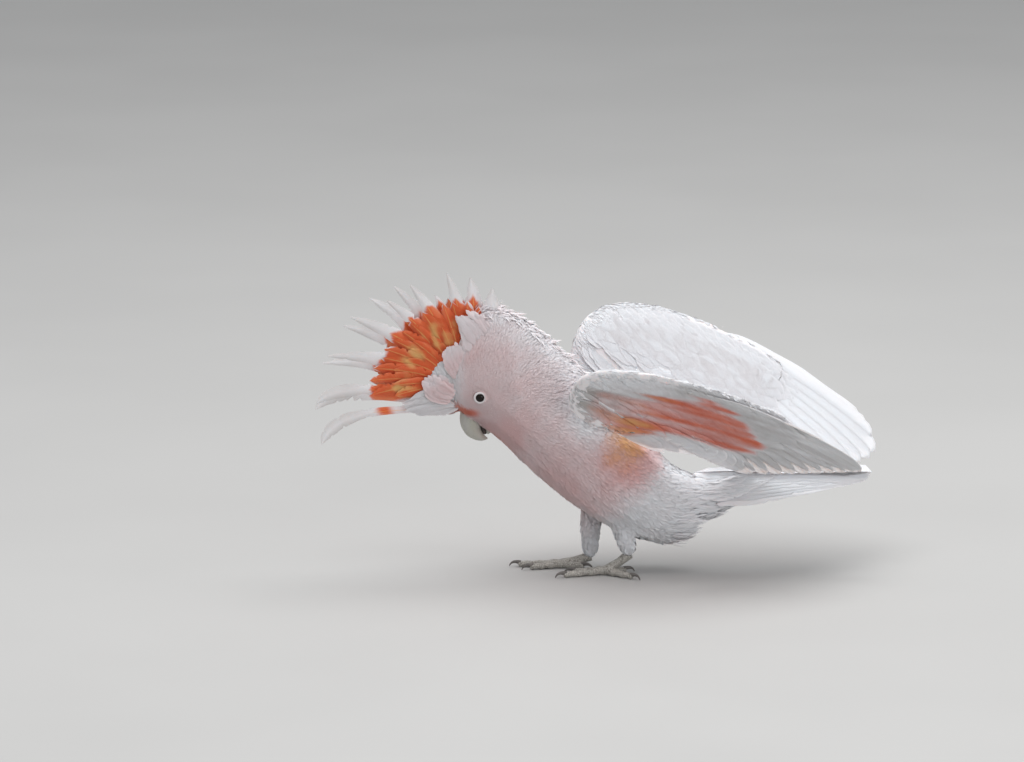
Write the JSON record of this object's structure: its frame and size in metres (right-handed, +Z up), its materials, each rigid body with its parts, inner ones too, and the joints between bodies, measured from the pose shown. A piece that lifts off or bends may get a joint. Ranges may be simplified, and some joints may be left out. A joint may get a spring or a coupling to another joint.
{
  "type": "pink cockatoo figure",
  "caption": "Life-size still model of a pink cockatoo in display: crest fanned, head bowed, both wings half lifted, standing on flat-soled feet on the floor.",
  "frame": {"origin": "under the middle of the bird's box, on the floor it stands on", "axes": "+X runs from the head to the tail, so the bird faces -X; +Z is up; its left side is towards -Y"},
  "size_m": [0.5018, 0.1696, 0.2797],
  "materials": {
    "body_feathers": "soft matt contour feathers, salmon pink paling to white",
    "crest_feathers": "matt feathers, white tips over a vermilion band with yellow patches",
    "wing_feathers": "satin feathers, white above, salmon and grey beneath",
    "tail_feathers": "satin feathers, white above, pink at the root beneath",
    "bill": "smooth horn, satin",
    "eye": "wet gloss",
    "foot": "dry scales, matt",
    "claw": "worn horn, satin"
  },
  "bodies": {
    "root": {"head": "body_feathers", "neck": "body_feathers", "trunk": "body_feathers", "bill_upper": "bill", "bill_lower": "bill", "crest": "crest_feathers", "tail": "tail_feathers", "eye_left": "eye", "wing_left": "wing_feathers", "primaries_left": "wing_feathers", "secondaries_left": "wing_feathers", "thigh_left": "body_feathers", "foot_left": "foot", "claw_left_inner_front": "claw", "claw_left_outer_front": "claw", "claw_left_inner_back": "claw", "claw_left_outer_back": "claw", "eye_right": "eye", "wing_right": "wing_feathers", "primaries_right": "wing_feathers", "secondaries_right": "wing_feathers", "thigh_right": "body_feathers", "foot_right": "foot", "claw_right_inner_front": "claw", "claw_right_outer_front": "claw", "claw_right_inner_back": "claw", "claw_right_outer_back": "claw"}
  },
  "joints": []
}
